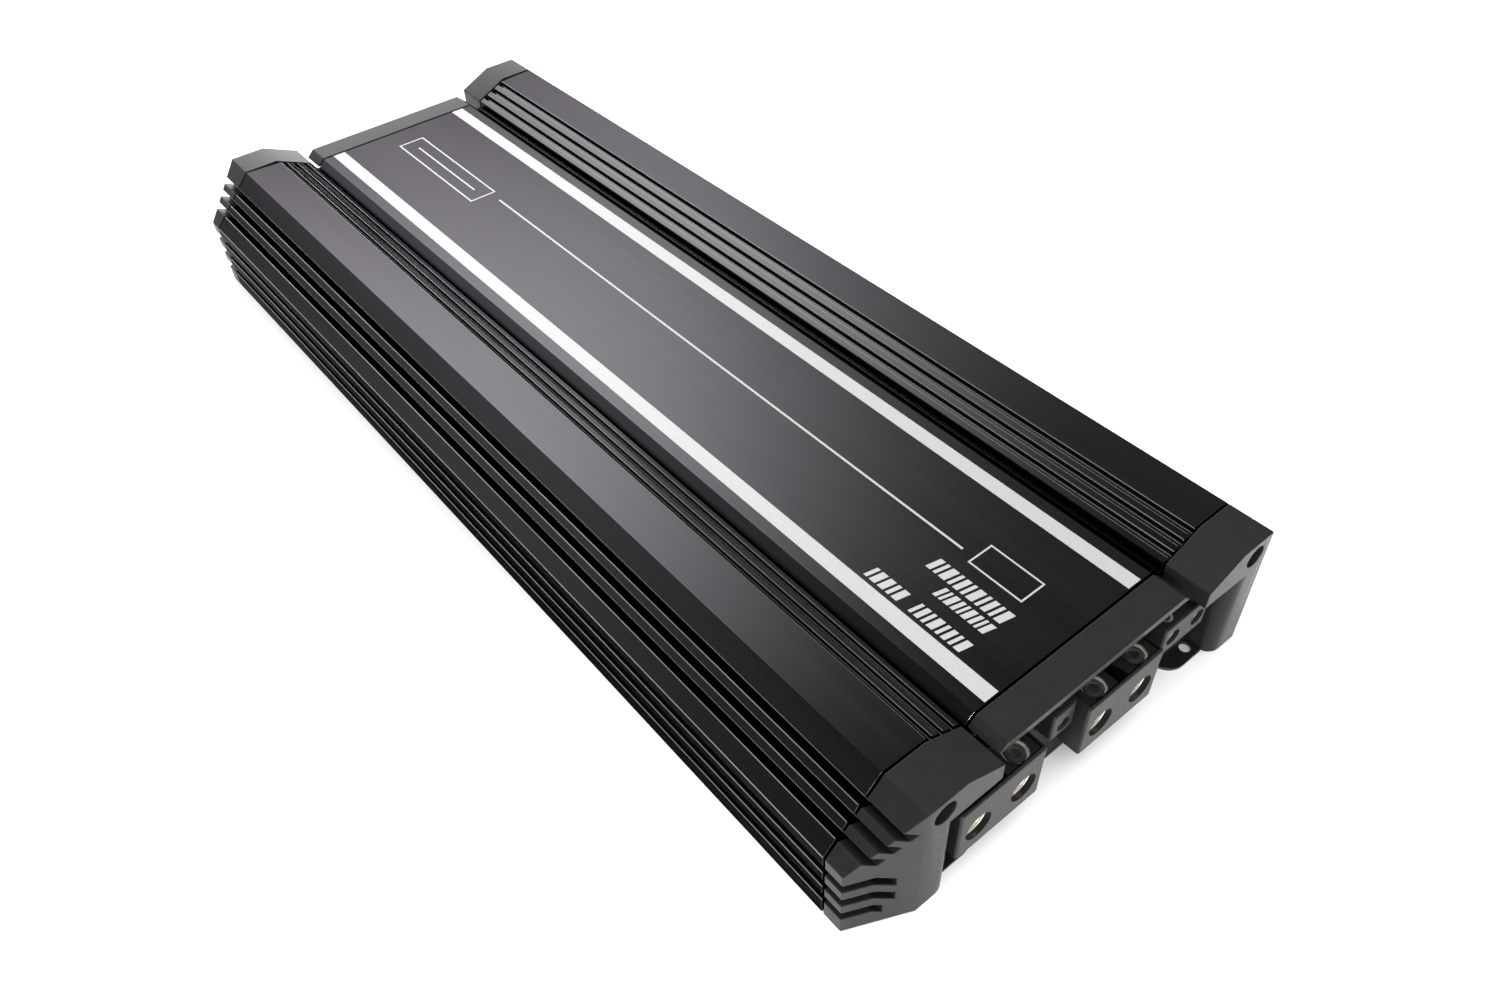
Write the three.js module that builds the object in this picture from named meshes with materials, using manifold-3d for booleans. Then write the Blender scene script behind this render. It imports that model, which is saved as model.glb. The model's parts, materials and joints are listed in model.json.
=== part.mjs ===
// Car audio power amplifier: a ribbed aluminium extrusion closed by a bottom cover, two end panels,
// four corner castings and two visors, with screw terminals in front and controls behind.
// Millimetres, +Z up. X is across the amplifier, Y runs along it and the terminals face -Y.
// The origin is on the floor, under the middle of the object.
import * as THREE from 'three';
import { mergeVertices } from 'three/addons/utils/BufferGeometryUtils.js';
import Module from 'manifold-3d';

const wasm = await Module();
wasm.setup();

// ---------- driving dimensions ----------

const BODY_LENGTH = 526.5;
const BODY_WIDTH = 243.4;
const BODY_HEIGHT = 65.6;
const SEAM_GAP = 1.0; // dark line between the extrusion and what closes its ends
const FIT_GAP = 0.3; // between pieces that touch
const RUNNING_GAP = 0.15; // round a piece that turns or slides

// outer section of the extrusion, from the side inwards
const SHOULDER_WIDTH = 25.9;
const SHOULDER_DROP = 26.4;
const CREST_WIDTH = 18.9;
const SLOPE_WIDTH = 19.2;
const SLOPE_DROP = 8.6;
const VALLEY_WIDTH = 3.3;
const VALLEY_DEPTH = 13.0;
const VALLEY_LEDGE = { width: 1.4, drop: 4.6 };
const PLATE_BEVEL_WIDTH = 4.5;
const PLATE_BEVEL_DROP = 4.0;

// grooves beside the centre plate, on the shoulders and in the sides
const INNER_GROOVE = { count: 3, width: 3.2, ridge: 3.1, depth: 2.8, margin: 2.2 };
const SHOULDER_GROOVE = { count: 3, width: 3.6, ridge: 3.7, depth: 6.3, margin: 10.6, tilt: 34 };
const SIDE_SLOT = {
  count: 3, height: 4.5, pitch: 9.8, lowest: 11.3, reach: 10.7, hook: 7.5, lowHook: 3.4, tilt: 32,
};

// inside of the extrusion
const PLATE_WALL = 6.5;
const RAIL_WALL = 3.0;
const RAIL_TAPER = 2.0;
const LOBE_WALL = 7.0;
const SHOULDER_WALL = 9.5;
const SIDE_WALL = 21.7;
const COVER_LEDGE = 7.9;

// ends
const POD_LENGTH = 21.2;
const POD_SIDE_LENGTH = 9.4;
const POD_WIDTH = 42.5;
const POD_CORNER_RADIUS = 6.5;
const TONGUE_THICKNESS = 8.6;
const POD_POCKET_DEPTH = 15.0;
const POD_POCKET_WALL = 4.0;
const VISOR_LENGTH = 16.0;
const VISOR_THICKNESS = 4.0;
const VISOR_FLANGE = { depth: 5.5, thickness: 4.0 };
const PANEL_FACE = 9.4; // how far the end panel's face stands beyond the seam
const PANEL_THICKNESS = 3.0;

// bottom cover and its mounting tabs
const COVER_THICKNESS = 1.5;
const TAB = {
  width: 21.2, reach: 17.1, cornerRadius: 9.0, holeRadius: 2.6, holeInset: 4.0, holeSetback: 5.1,
};
const COVER_SCREW = { headRadius: 2.9, shankRadius: 1.5, length: 9.0, point: 1.0, inset: 40.0 };

// screws that hold the corner castings
const POD_SCREW = {
  inset: 34.8, drop: 8.2, boreRadius: 5.15, headRadius: 3.5, headHeight: 4.0, shankRadius: 1.6,
  seat: 5.0, engagement: 18.0, portRadius: 4.4, socket: 1.6,
};

// terminals: the row is laid out from left to right and centred on the panel, moved by TERMINAL_ROW_SHIFT;
// its gaps close up and the row moves back before it comes nearer to a corner casting than its clearance
const TERMINAL_ROW_SHIFT = -2.9;
const TERMINAL_ROW_CLEARANCE = 1.5;
const POWER_TERMINAL = {
  bore: 13.0, barrelWall: 2.2, housingWall: 1.3, partition: 5.8, floorZ: 13.5, boreZ: 26.4, roofZ: 43.0,
  front: 21.2, frontWall: 2.2, screwRadius: 4.2, screwLength: 8.0, screwSetback: 6.7,
  recess: 1.2, travel: 6.0, socket: 2.4, tail: [8.0, 4.0],
};
const REMOTE_TERMINAL = {
  bore: 6.8, barrelWall: 1.6, housingWall: 1.2, partition: 4.0, floorZ: 32.0, boreZ: 38.0, roofZ: 46.8,
  front: 16.5, frontWall: 1.6, screwRadius: 1.8, screwLength: 4.0, screwSetback: 5.5,
  recess: 0.8, travel: 2.4, socket: 1.0, tail: [3.0, 2.0],
};
const SPEAKER_TERMINAL = {
  bore: 7.9, barrelWall: 1.5, housingWall: 0.7, partition: 4.2, floorZ: 25.8, boreZ: 33.9, roofZ: 42.2,
  front: 16.5, frontWall: 1.6, screwRadius: 2.2, screwLength: 4.4, screwSetback: 5.8,
  recess: 0.8, travel: 3.0, socket: 1.2, tail: [4.0, 2.5],
};
const TERMINAL_ROW = [
  { name: 'power_supply', kind: POWER_TERMINAL, ways: ['positive', 'ground'], gap: 8.2 },
  { name: 'remote', kind: REMOTE_TERMINAL, ways: ['turn_on'], gap: 1.8 },
  { name: 'power_bridge', kind: POWER_TERMINAL, ways: ['positive', 'ground'], gap: 7.7 },
  { name: 'speaker', kind: SPEAKER_TERMINAL, ways: ['positive', 'negative'], gap: 0 },
];
const HOUSING_BEVEL = 1.0;
const SCREW_CLEARANCE = 1.2; // between a set screw and the hole above it in its housing

// circuit board, hung under the rails of the extrusion with its parts facing down
const BOARD = { thickness: 1.6, sideGap: 3.0, endGap: 12.0 };
const TRANSFORMER = { radius: 29.0, hole: 11.0, height: 24.0, spacing: 78.0, y: -120.0 };
const INDUCTOR = { radius: 21.0, hole: 8.0, height: 20.0, x: 42.0, y: -10.0 };
const CAPACITOR = { radius: 15.0, height: 30.0, spacing: 36.0, y: 90.0, groove: 1.2, bevel: 1.5 };
const CLAMP_BAR = { width: 6.0, height: 14.0, z: 14.0, endGap: 70.0, boardSide: 9.0, bevel: 1.5 };

// controls on the rear panel; x is measured across the amplifier
const CONTROL_Z = 26.0;
const KNOB = { radius: 4.2, length: 6.5, shaftRadius: 3.0, bevel: 0.8, slotWidth: 1.0, slotDepth: 1.4 };
const KNOB_PLACES = { gain: 26.0, low_pass: 9.0, subsonic: -8.0, bass_boost: -25.0 };
const POT = { width: 12.0, height: 12.0, depth: 7.0 };
const RCA = {
  radius: 4.2, length: 8.5, flangeRadius: 6.4, flangeLength: 1.6, boreRadius: 1.7, tailDepth: 12.0,
};
const RCA_PLACES = { left: 62.0, right: 46.0 };
const SWITCH = {
  x: -41.0, width: 12.0, height: 7.0, depth: 7.0, slot: [8.0, 4.0], nub: [3.4, 3.4],
  travel: 4.0, nubReach: 2.4,
};
const PORT = {
  x: -56.0, width: 13.0, height: 11.0, depth: 15.0, stand: 1.0, mouth: [10.0, 7.0], mouthDepth: 12.0,
};
const LED = { x: -69.0, radius: 1.5, flangeRadius: 2.2, flangeLength: 3.0, reach: 0.8 };

// facets round a full circle
const COARSE = 16;
const FINE = 24;

// ---------- sizes that follow from the ones above ----------

const HALF_LENGTH = BODY_LENGTH / 2;
const HALF_WIDTH = BODY_WIDTH / 2;
const CREST_OUT = HALF_WIDTH - SHOULDER_WIDTH;
const CREST_IN = CREST_OUT - CREST_WIDTH;
const LOBE_IN = CREST_IN - SLOPE_WIDTH;
const PLATE_OUT = LOBE_IN - VALLEY_WIDTH;
const PLATE_HALF = PLATE_OUT - PLATE_BEVEL_WIDTH;
const PLATE_Z = BODY_HEIGHT - SLOPE_DROP;
const VALLEY_Z = PLATE_Z - VALLEY_DEPTH;
const RAIL_Z = VALLEY_Z - RAIL_WALL;
const SIDE_TOP_Z = BODY_HEIGHT - SHOULDER_DROP;
const POD_WALL_X = HALF_WIDTH - POD_WIDTH;
const TONGUE_Z = PLATE_Z - TONGUE_THICKNESS;
const PANEL_HALF = POD_WALL_X - SEAM_GAP;
const FLOOR_Z = COVER_THICKNESS + FIT_GAP; // lowest level of what stands on the cover
const HOUSING_START = SEAM_GAP; // where the terminal housings begin, beyond the seam
const CAVITY_HALF = HALF_WIDTH - SIDE_WALL;
const POD_SCREW_X = HALF_WIDTH - POD_SCREW.inset;
const POD_SCREW_Z = BODY_HEIGHT - POD_SCREW.drop;
const BOARD_TOP_Z = RAIL_Z - FIT_GAP;
const BOARD_Z = BOARD_TOP_Z - BOARD.thickness;
const RAD = Math.PI / 180;

// ---------- solids ----------

function toSolid(geometry) {
  geometry.deleteAttribute('normal');
  geometry.deleteAttribute('uv');
  const merged = mergeVertices(geometry, 1e-4);
  const vertProperties = new Float32Array(merged.attributes.position.array);
  const triVerts = new Uint32Array(merged.index.array);
  return new wasm.Manifold(new wasm.Mesh({ numProp: 3, vertProperties, triVerts }));
}

function toGeometry(solid) {
  const mesh = solid.getMesh();
  const geometry = new THREE.BufferGeometry();
  geometry.setAttribute('position', new THREE.BufferAttribute(new Float32Array(mesh.vertProperties), 3));
  geometry.setIndex(new THREE.BufferAttribute(new Uint32Array(mesh.triVerts), 1));
  geometry.computeVertexNormals();
  return geometry;
}

const join = (first, ...others) => others.reduce((solid, other) => solid.add(other), first);
const cut = (first, ...others) => others.reduce((solid, other) => solid.subtract(other), first);

function box([x0, x1], [y0, y1], [z0, z1]) {
  const geometry = new THREE.BoxGeometry(x1 - x0, y1 - y0, z1 - z0);
  return toSolid(geometry.translate((x0 + x1) / 2, (y0 + y1) / 2, (z0 + z1) / 2));
}

// a section drawn as [x, z] points, run from y0 to y1
function alongY(points, [y0, y1]) {
  const shape = new THREE.Shape(points.map(([x, z]) => new THREE.Vector2(x, z)));
  const geometry = new THREE.ExtrudeGeometry(shape, { depth: y1 - y0, bevelEnabled: false });
  return toSolid(geometry.rotateX(Math.PI / 2).translate(0, y1, 0));
}

// an outline drawn as [x, y] points, run from z0 to z1
function alongZ(points, [z0, z1]) {
  const shape = new THREE.Shape(points.map(([x, y]) => new THREE.Vector2(x, y)));
  const geometry = new THREE.ExtrudeGeometry(shape, { depth: z1 - z0, bevelEnabled: false });
  return toSolid(geometry.translate(0, 0, z0));
}

function rodY(radius, x, z, [y0, y1], facets = COARSE) {
  const geometry = new THREE.CylinderGeometry(radius, radius, y1 - y0, facets);
  return toSolid(geometry.translate(x, (y0 + y1) / 2, z));
}

function rodZ(radius, x, y, [z0, z1], facets = COARSE, topRadius = radius) {
  const geometry = new THREE.CylinderGeometry(topRadius, radius, z1 - z0, facets);
  return toSolid(geometry.rotateX(Math.PI / 2).translate(x, y, (z0 + z1) / 2));
}

// a [radius, height] profile turned about Z and set down at a place
function turned(profile, [x, y, z], facets = FINE) {
  const points = profile.map(([radius, height]) => new THREE.Vector2(radius, height));
  const geometry = new THREE.LatheGeometry(points, facets);
  return toSolid(geometry.rotateX(Math.PI / 2).translate(x, y, z));
}

const mirrored = (points) => points.map(([x, z]) => [-x, z]).reverse();

function arc([cx, cy], radius, from, to, steps) {
  return Array.from({ length: steps + 1 }, (_, i) => {
    const angle = (from + (to - from) * (i / steps)) * RAD;
    return [cx + radius * Math.cos(angle), cy + radius * Math.sin(angle)];
  });
}

// A corner or an end of the amplifier is drawn in the quarter with +X and outward distance beyond the
// seam, then placed by sideX and sideY, each 1 or -1.
const outward = (sideY, distance) => sideY * (HALF_LENGTH + distance);
const between = (sideY, near, far) => [outward(sideY, near), outward(sideY, far)].sort((a, b) => a - b);

// ---------- finishes ----------

const FINISHES = {
  black_anodised: { color: 0x17171a, roughness: 0.38, metalness: 0.8 },
  pod_paint: { color: 0x2b2b2b, roughness: 0.55, metalness: 0.3 },
  steel_black: { color: 0x0d0d0d, roughness: 0.5, metalness: 0.6 },
  black_plastic: { color: 0x1c1c1d, roughness: 0.5, metalness: 0.0 },
  nickel: { color: 0xd8d0c0, roughness: 0.25, metalness: 1.0 },
  screw_steel: { color: 0xa8a8a8, roughness: 0.35, metalness: 1.0 },
  black_screw: { color: 0x141414, roughness: 0.4, metalness: 0.7 },
  board_green: { color: 0x14532d, roughness: 0.6, metalness: 0.0 },
  copper_wire: { color: 0xb06a35, roughness: 0.4, metalness: 0.8 },
  capacitor_sleeve: { color: 0x20242c, roughness: 0.35, metalness: 0.0 },
  aluminium_bar: { color: 0x9a9ca0, roughness: 0.45, metalness: 1.0 },
  led_lens: { color: 0x2f62d8, roughness: 0.15, metalness: 0.0 },
};

const amplifier = new THREE.Group();

function addPart(name, solid, finish) {
  const mesh = new THREE.Mesh(toGeometry(solid), new THREE.MeshStandardMaterial(FINISHES[finish]));
  mesh.name = name;
  amplifier.add(mesh);
}

// ---------- outer skin, shared by the extrusion and the corner castings ----------

// a line of open cuts along a straight edge: each goes in by the given vector and comes back out
function edgeWithCuts([startX, startZ], [endX, endZ], starts, width, [inX, inZ]) {
  const length = Math.hypot(endX - startX, endZ - startZ);
  const at = (s) => [startX + ((endX - startX) * s) / length, startZ + ((endZ - startZ) * s) / length];
  return starts.flatMap((start) => {
    const [near, far] = [at(start), at(start + width)];
    return [near, [near[0] + inX, near[1] + inZ], [far[0] + inX, far[1] + inZ], far];
  });
}

function shoulderPoints() {
  const { count, width, ridge, depth, margin, tilt } = SHOULDER_GROOVE;
  const starts = Array.from({ length: count }, (_, i) => margin + i * (width + ridge));
  const inwards = [-depth * Math.cos(tilt * RAD), -depth * Math.sin(tilt * RAD)];
  return edgeWithCuts([CREST_OUT, BODY_HEIGHT], [HALF_WIDTH, SIDE_TOP_Z], starts, width, inwards);
}

function sidePoints() {
  const { count, height, pitch, lowest, reach, hook, lowHook, tilt } = SIDE_SLOT;
  const bend = HALF_WIDTH - reach;
  return Array.from({ length: count }, (_, i) => count - 1 - i).flatMap((level) => {
    const top = lowest + level * pitch + height / 2;
    const length = level === 0 ? lowHook : hook;
    const drop = length * Math.tan(tilt * RAD);
    return [
      [HALF_WIDTH, top], [bend, top], [bend - length, top - drop],
      [bend - length, top - height - drop], [bend, top - height], [HALF_WIDTH, top - height],
    ];
  });
}

const lobeSkin = [[CREST_OUT, BODY_HEIGHT], ...shoulderPoints(), [HALF_WIDTH, SIDE_TOP_Z], ...sidePoints()];

// ---------- extrusion ----------

function slopePoints() {
  const { count, width, ridge, depth, margin } = INNER_GROOVE;
  const last = Math.hypot(SLOPE_WIDTH, SLOPE_DROP) - margin - width;
  const starts = Array.from({ length: count }, (_, i) => last - (count - 1 - i) * (width + ridge));
  return edgeWithCuts([LOBE_IN, PLATE_Z], [CREST_IN, BODY_HEIGHT], starts, width, [0, -depth]);
}

function cavityPoints() {
  const slopeZ = (x) => PLATE_Z + ((x - LOBE_IN) * SLOPE_DROP) / SLOPE_WIDTH;
  const roof = BODY_HEIGHT - LOBE_WALL;
  const inset = SHOULDER_WALL * Math.hypot(1, SHOULDER_DROP / SHOULDER_WIDTH);
  const shoulderX = (z) => CREST_OUT + ((BODY_HEIGHT - z) * SHOULDER_WIDTH) / SHOULDER_DROP - inset;
  const shoulderZ = (x) => BODY_HEIGHT - ((x + inset - CREST_OUT) * SHOULDER_DROP) / SHOULDER_WIDTH;
  const railOut = LOBE_IN + RAIL_WALL;
  const railIn = PLATE_OUT - RAIL_WALL;
  const railTop = railOut + RAIL_TAPER / 2;
  return [
    [CAVITY_HALF, FLOOR_Z], [CAVITY_HALF, shoulderZ(CAVITY_HALF)], [shoulderX(roof), roof],
    [CREST_IN, roof], [railTop, slopeZ(railTop) - LOBE_WALL], [railOut, RAIL_Z],
    [railIn, RAIL_Z], [railIn - RAIL_TAPER, PLATE_Z - PLATE_WALL],
  ];
}

function heatsink() {
  const ledgeX = LOBE_IN - VALLEY_LEDGE.width;
  const ledgeZ = PLATE_Z - VALLEY_LEDGE.drop;
  const half = [
    [PLATE_HALF, PLATE_Z], [PLATE_OUT, PLATE_Z - PLATE_BEVEL_DROP], [PLATE_OUT, VALLEY_Z],
    [ledgeX, VALLEY_Z], [ledgeX, ledgeZ], [LOBE_IN, ledgeZ], [LOBE_IN, PLATE_Z],
    ...slopePoints(), ...lobeSkin, [HALF_WIDTH, 0],
    [CAVITY_HALF + COVER_LEDGE, 0], [CAVITY_HALF + COVER_LEDGE, FLOOR_Z], ...cavityPoints(),
  ];
  const span = [-HALF_LENGTH + SEAM_GAP / 2, HALF_LENGTH - SEAM_GAP / 2];
  const past = [span[0] - 1, span[1] + 1];
  let solid = alongY([...half, ...mirrored(half)], span);
  for (const x of [-POD_SCREW_X, POD_SCREW_X]) {
    solid = join(solid, rodY(POD_SCREW.portRadius, x, POD_SCREW_Z, span));
    solid = cut(solid, rodY(POD_SCREW.shankRadius + FIT_GAP, x, POD_SCREW_Z, past));
  }
  const hole = COVER_SCREW.shankRadius + FIT_GAP;
  const holes = coverScrewPlaces().map(([x, y]) => rodZ(hole, x, y, [0, COVER_SCREW.length + 1]));
  return cut(solid, ...holes);
}

function coverScrewPlaces() {
  const x = CAVITY_HALF + COVER_LEDGE / 2;
  const y = HALF_LENGTH - COVER_SCREW.inset;
  return [[-x, -y], [x, -y], [-x, y], [x, y]];
}

// ---------- corner castings, visors and their screws ----------

function cornerPod(sideX, sideY) {
  const section = [
    [LOBE_IN, PLATE_Z], [CREST_IN, BODY_HEIGHT], ...lobeSkin, [HALF_WIDTH, 0],
    [POD_WALL_X, 0], [POD_WALL_X, TONGUE_Z], [LOBE_IN, TONGUE_Z],
  ];
  const start = SEAM_GAP / 2;
  const outer = [
    [HALF_WIDTH + 1, start], [HALF_WIDTH + 1, POD_SIDE_LENGTH],
    [HALF_WIDTH, POD_SIDE_LENGTH], [CREST_OUT, POD_LENGTH],
  ];
  const tonguePlan = [...outer, [LOBE_IN - 1, POD_LENGTH], [LOBE_IN - 1, start]];
  const radius = POD_CORNER_RADIUS;
  const corner = arc([POD_WALL_X + radius, POD_LENGTH - radius], radius, 90, 180, 6);
  const wallPlan = [...outer, ...corner, [POD_WALL_X, start]];
  const place = (points) => points.map(([x, distance]) => [sideX * x, outward(sideY, distance)]);
  const plan = join(
    alongZ(place(wallPlan), [-1, TONGUE_Z]),
    alongZ(place(tonguePlan), [TONGUE_Z, BODY_HEIGHT + 1]),
  );
  const block = alongY(section.map(([x, z]) => [sideX * x, z]), between(sideY, 0, POD_LENGTH + 1));
  const screwX = sideX * POD_SCREW_X;
  const pocketX = [POD_WALL_X + POD_POCKET_WALL, CAVITY_HALF].map((x) => sideX * x).sort((a, b) => a - b);
  const pocketZ = [POD_POCKET_WALL, POD_SCREW_Z - POD_SCREW.boreRadius - POD_POCKET_WALL];
  return cut(
    block.intersect(plan),
    rodY(POD_SCREW.boreRadius, screwX, POD_SCREW_Z, between(sideY, POD_SCREW.seat, POD_LENGTH + 1), FINE),
    rodY(POD_SCREW.shankRadius + FIT_GAP, screwX, POD_SCREW_Z, between(sideY, 0, POD_SCREW.seat + 1)),
    box(pocketX, between(sideY, 0, POD_POCKET_DEPTH), pocketZ),
  );
}

function podScrew(sideX, sideY) {
  const x = sideX * POD_SCREW_X;
  const headStart = POD_SCREW.seat + FIT_GAP;
  const headEnd = headStart + POD_SCREW.headHeight;
  const socketEnd = headEnd - POD_SCREW.headHeight / 2;
  return cut(
    join(
      rodY(POD_SCREW.headRadius, x, POD_SCREW_Z, between(sideY, headStart, headEnd)),
      rodY(POD_SCREW.shankRadius, x, POD_SCREW_Z, between(sideY, -POD_SCREW.engagement, headStart + 1)),
    ),
    rodY(POD_SCREW.socket, x, POD_SCREW_Z, between(sideY, socketEnd, headEnd + 1), 6),
  );
}

function visor(sideY) {
  const bottom = PLATE_Z - VISOR_THICKNESS;
  const half = [[PLATE_HALF, PLATE_Z], [PLATE_OUT, PLATE_Z - PLATE_BEVEL_DROP], [PLATE_OUT, bottom]];
  const flangeHalf = PLATE_HALF - PLATE_BEVEL_WIDTH;
  const start = SEAM_GAP / 2;
  return join(
    alongY([...half, ...mirrored(half)], between(sideY, start, VISOR_LENGTH)),
    box(
      [-flangeHalf, flangeHalf],
      between(sideY, start, start + VISOR_FLANGE.thickness),
      [bottom - VISOR_FLANGE.depth, bottom + VISOR_THICKNESS / 2],
    ),
  );
}

// ---------- bottom cover ----------

function bottomCover() {
  const half = CAVITY_HALF + COVER_LEDGE - FIT_GAP;
  const shoulder = HALF_LENGTH - SEAM_GAP / 2;
  const face = HALF_LENGTH + PANEL_FACE;
  const tabEnd = HALF_LENGTH + TAB.reach;
  const tabOut = POD_WALL_X - FIT_GAP;
  const tabIn = tabOut - TAB.width;
  const curve = arc([tabIn + TAB.cornerRadius, tabEnd - TAB.cornerRadius], TAB.cornerRadius, 180, 90, 8);
  const edge = [[half, shoulder], [tabOut, shoulder], [tabOut, tabEnd]];
  const quarter = [...edge, ...curve.reverse(), [tabIn, face]];
  const rear = [...quarter, ...mirrored(quarter)];
  const front = rear.map(([x, y]) => [-x, -y]);
  const through = [-1, COVER_THICKNESS + 1];
  const holes = tabHolePlaces().map(([x, y]) => rodZ(TAB.holeRadius, x, y, through, FINE));
  const holeRadius = COVER_SCREW.shankRadius + FIT_GAP;
  const coneRadius = COVER_SCREW.headRadius + FIT_GAP;
  const countersinks = coverScrewPlaces().map(([x, y]) => join(
    rodZ(coneRadius, x, y, [0, COVER_THICKNESS], COARSE, holeRadius),
    rodZ(holeRadius, x, y, [0, COVER_THICKNESS + 1]),
  ));
  return cut(alongZ([...rear, ...front], [0, COVER_THICKNESS]), ...holes, ...countersinks);
}

function tabHolePlaces() {
  const x = POD_WALL_X - FIT_GAP - TAB.holeInset;
  const y = HALF_LENGTH + TAB.reach - TAB.holeSetback;
  return [[-x, -y], [x, -y], [-x, y], [x, y]];
}

function coverScrew([x, y]) {
  const { headRadius, shankRadius, length, point } = COVER_SCREW;
  const profile = [
    [0, 0], [headRadius, 0], [shankRadius, COVER_THICKNESS],
    [shankRadius, length - point], [shankRadius - point, length], [0, length],
  ];
  const place = [x, y, FIT_GAP / 2];
  return cut(turned(profile, place, COARSE), rodZ(shankRadius / 2, x, y, [-1, COVER_THICKNESS / 2], 6));
}

// ---------- terminals ----------

const barrelWidth = (kind) => kind.bore + 2 * kind.barrelWall;
const wayPitch = (kind) => barrelWidth(kind) + kind.partition + 2 * FIT_GAP;
const boxWidth = (kind) => barrelWidth(kind) + 2 * (kind.housingWall + FIT_GAP);
const housingWidth = (kind, ways) => (ways - 1) * wayPitch(kind) + boxWidth(kind);

function placeTerminals() {
  const sum = (numbers) => numbers.reduce((total, number) => total + number, 0);
  const housings = sum(TERMINAL_ROW.map(({ kind, ways }) => housingWidth(kind, ways.length)));
  const gaps = sum(TERMINAL_ROW.map(({ gap }) => gap));
  const limit = POD_WALL_X - TERMINAL_ROW_CLEARANCE;
  const squeeze = Math.min(1, (2 * limit - housings) / gaps);
  const half = (housings + gaps * squeeze) / 2;
  let left = Math.max(TERMINAL_ROW_SHIFT, half - limit) - half;
  return TERMINAL_ROW.map(({ name, kind, ways, gap }) => {
    const width = housingWidth(kind, ways.length);
    const centre = left + width / 2;
    left += width + gap * squeeze;
    const wayX = ways.map((_, i) => centre + (i - (ways.length - 1) / 2) * wayPitch(kind));
    return { name, kind, ways, centre, width, wayX };
  });
}

const terminals = placeTerminals();
const barrelTop = (kind) => kind.roofZ - kind.housingWall - FIT_GAP;
const barrelBottom = (kind) => kind.boreZ - kind.bore / 2 - kind.barrelWall;
const barrelFront = (kind) => kind.front - kind.frontWall - FIT_GAP;
const screwY = (kind) => outward(-1, kind.front - kind.screwSetback);

// the front edges are bevelled all round
function bevelledBlock([x0, x1], [y0, y1], [z0, z1], bevel) {
  const back = y0 + bevel;
  const [left, right, low, high] = [x0 + bevel, x1 - bevel, z0 + bevel, z1 - bevel];
  const frame = [[left, low], [right, low], [right, high], [left, high]];
  const shape = new THREE.Shape(frame.map(([x, z]) => new THREE.Vector2(x, z)));
  const options = { depth: y1 - back, bevelThickness: bevel, bevelSize: bevel, bevelSegments: 1 };
  const geometry = new THREE.ExtrudeGeometry(shape, options).rotateX(Math.PI / 2).translate(0, y1, 0);
  return cut(toSolid(geometry), box([x0 - 1, x1 + 1], [y1, y1 + 2 * bevel], [z0 - 1, z1 + 1]));
}

function terminalHousing({ kind, centre, width, wayX }) {
  const [y0, y1] = between(-1, HOUSING_START, kind.front);
  const spanX = [centre - width / 2, centre + width / 2];
  const block = bevelledBlock(spanX, [y0, y1], [kind.floorZ, kind.roofZ], HOUSING_BEVEL);
  const half = barrelWidth(kind) / 2 + FIT_GAP;
  const hollowZ = [barrelBottom(kind) - FIT_GAP, barrelTop(kind) + FIT_GAP];
  const tools = wayX.flatMap((x) => [
    rodY(kind.bore / 2, x, kind.boreZ, [y0 - 1, y0 + kind.frontWall + 1], FINE),
    box([x - half, x + half], [y0 + kind.frontWall, y1 + 1], hollowZ),
    rodZ(kind.screwRadius + SCREW_CLEARANCE, x, screwY(kind), [kind.boreZ, kind.roofZ + 1], FINE),
  ]);
  return cut(block, ...tools);
}

function terminalBarrel(kind, x) {
  const half = barrelWidth(kind) / 2;
  const [y0, y1] = between(-1, HOUSING_START, barrelFront(kind));
  const tailBack = -BOARD.endGap - kind.tail[0] / 2;
  const [tailWidth, tailHeight] = kind.tail;
  const tailTop = BOARD_Z - FIT_GAP;
  const tailX = [x - tailWidth / 2, x + tailWidth / 2];
  return cut(
    join(
      box([x - half, x + half], [y0, y1], [barrelBottom(kind), barrelTop(kind)]),
      box(tailX, [y1 - 1, outward(-1, tailBack)], [tailTop - tailHeight, tailTop]),
    ),
    rodY(kind.bore / 2, x, kind.boreZ, [y0 - 1, y1 - kind.barrelWall], FINE),
    rodZ(kind.screwRadius + RUNNING_GAP, x, screwY(kind), [kind.boreZ, kind.roofZ]),
  );
}

function setScrew(kind, x) {
  const top = kind.roofZ - kind.recess;
  const bottom = top - kind.screwLength;
  const bevel = kind.screwRadius / 5;
  const profile = [
    [0, 0], [kind.screwRadius - 2 * bevel, 0], [kind.screwRadius, bevel],
    [kind.screwRadius, kind.screwLength - bevel], [kind.screwRadius - bevel, kind.screwLength],
    [0, kind.screwLength],
  ];
  const y = screwY(kind);
  return cut(
    turned(profile, [x, y, bottom], COARSE),
    rodZ(kind.socket, x, y, [top - kind.screwLength / 2, top + 1], 6),
  );
}

// ---------- end panels ----------

function panelBlank(sideY) {
  const lower = TONGUE_Z - FIT_GAP;
  const upper = PLATE_Z - VISOR_THICKNESS - FIT_GAP;
  const half = [[PLATE_HALF, upper], [PLATE_HALF, lower], [PANEL_HALF, lower], [PANEL_HALF, FLOOR_Z]];
  return alongY([...half, ...mirrored(half)], between(sideY, PANEL_FACE - PANEL_THICKNESS, PANEL_FACE));
}

function frontPanel() {
  const through = between(-1, PANEL_FACE - PANEL_THICKNESS - 1, PANEL_FACE + 1);
  const windows = terminals.map(({ kind, centre, width }) => {
    const half = width / 2 + FIT_GAP;
    return box([centre - half, centre + half], through, [kind.floorZ - FIT_GAP, kind.roofZ + FIT_GAP]);
  });
  return cut(panelBlank(-1), ...windows);
}

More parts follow.
